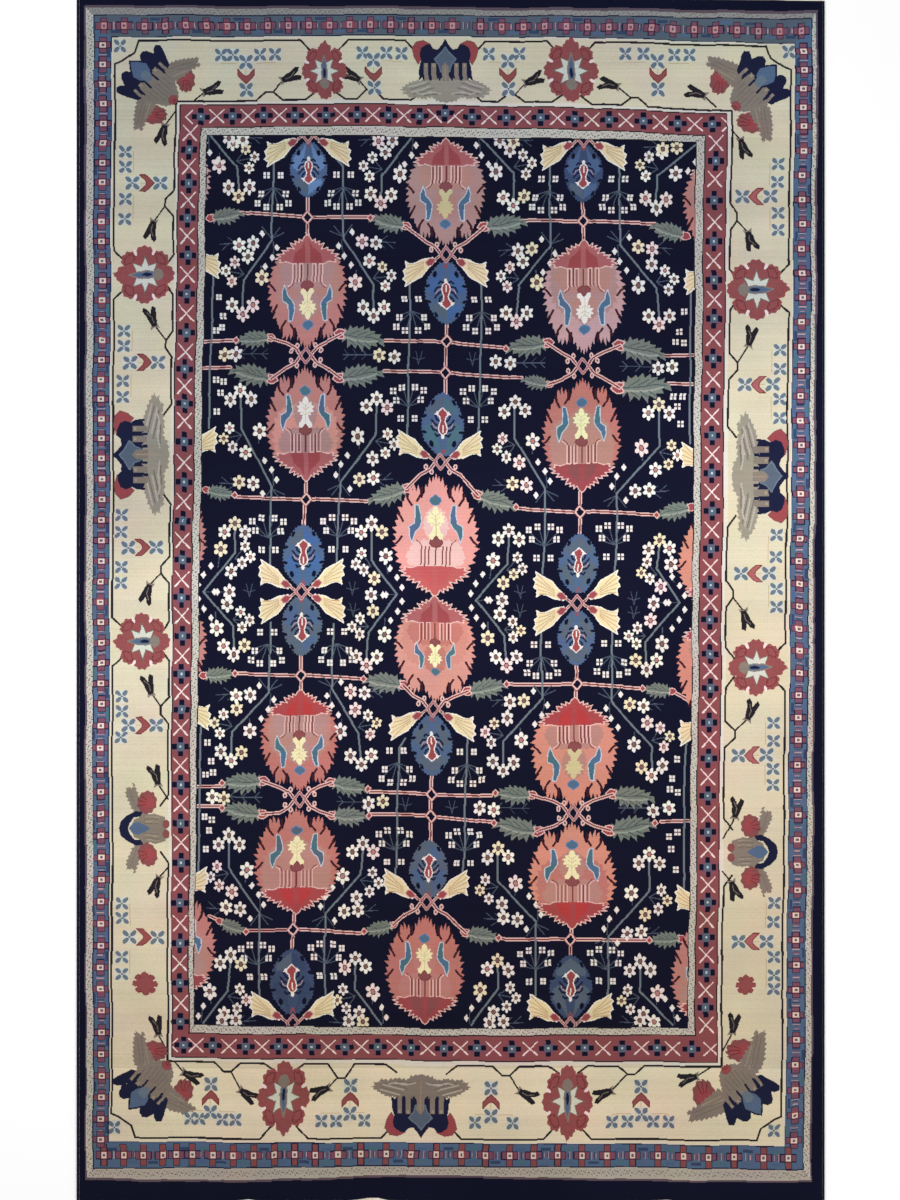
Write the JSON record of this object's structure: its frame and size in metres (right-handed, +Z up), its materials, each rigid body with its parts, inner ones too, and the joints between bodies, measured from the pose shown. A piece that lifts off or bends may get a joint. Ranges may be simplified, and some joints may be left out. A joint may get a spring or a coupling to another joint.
{
  "type": "mahal rug",
  "caption": "Large flat hand-knotted wool carpet with overcast sides and a worn cotton warp fringe at both ends.",
  "frame": {"origin": "on the floor, under the middle of the carpet with its fringes", "axes": "+Y along the carpet towards its top end, +X across it to the right, +Z up out of the pile"},
  "size_m": [3.05, 5.024, 0.009],
  "materials": {
    "pile_wool": "knotted wool pile",
    "selvedge_wool": "overcast wool cord",
    "warp_cotton": "undyed twisted cotton"
  },
  "bodies": {
    "root": {"rug": "pile_wool", "side_cord_left": "selvedge_wool", "side_cord_right": "selvedge_wool", "fringe_top": "warp_cotton", "fringe_bottom": "warp_cotton"}
  },
  "joints": []
}
